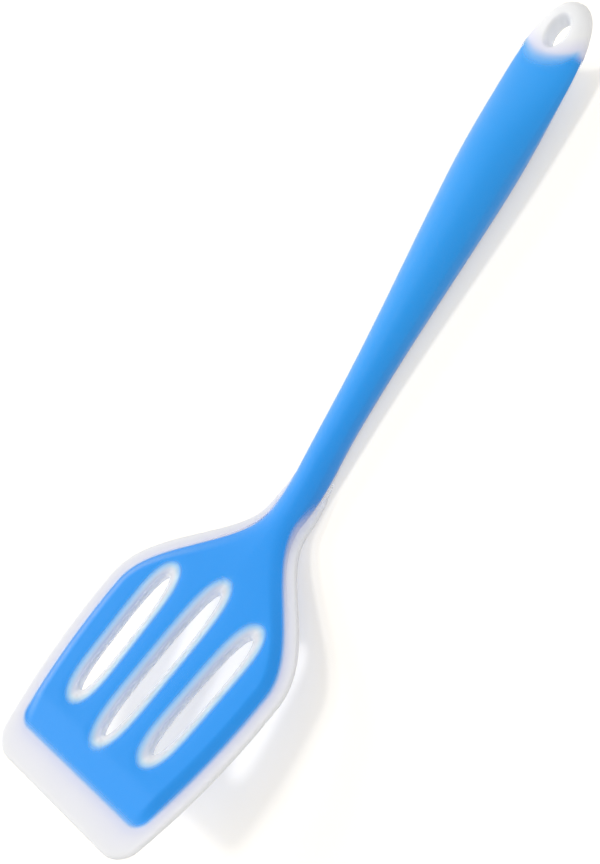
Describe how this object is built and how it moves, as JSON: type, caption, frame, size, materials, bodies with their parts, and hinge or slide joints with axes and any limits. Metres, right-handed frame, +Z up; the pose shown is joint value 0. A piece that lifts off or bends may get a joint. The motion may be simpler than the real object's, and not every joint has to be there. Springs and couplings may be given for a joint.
{
  "type": "slotted spatula",
  "caption": "Slotted turner with a rigid coloured core moulded inside a translucent silicone skin that forms a thin soft lip round the blade and a hanging end.",
  "frame": {"origin": "middle of the bounding box on the table at z = 0, with the turner lying on its neck and its grip and the blade's front edge raised", "axes": "+X along the handle towards the hanging hole, +Y across the blade, +Z up from the table; the part is the same on both sides of Y = 0"},
  "size_m": [0.2952, 0.0816, 0.0365],
  "materials": {
    "blue_nylon": "bright blue moulded nylon, smooth and satin, seen through the skin",
    "milky_silicone": "milky translucent silicone rubber with a soft satin surface"
  },
  "bodies": {
    "root": {"nylon_core": "blue_nylon", "silicone_skin": "milky_silicone"}
  },
  "joints": []
}
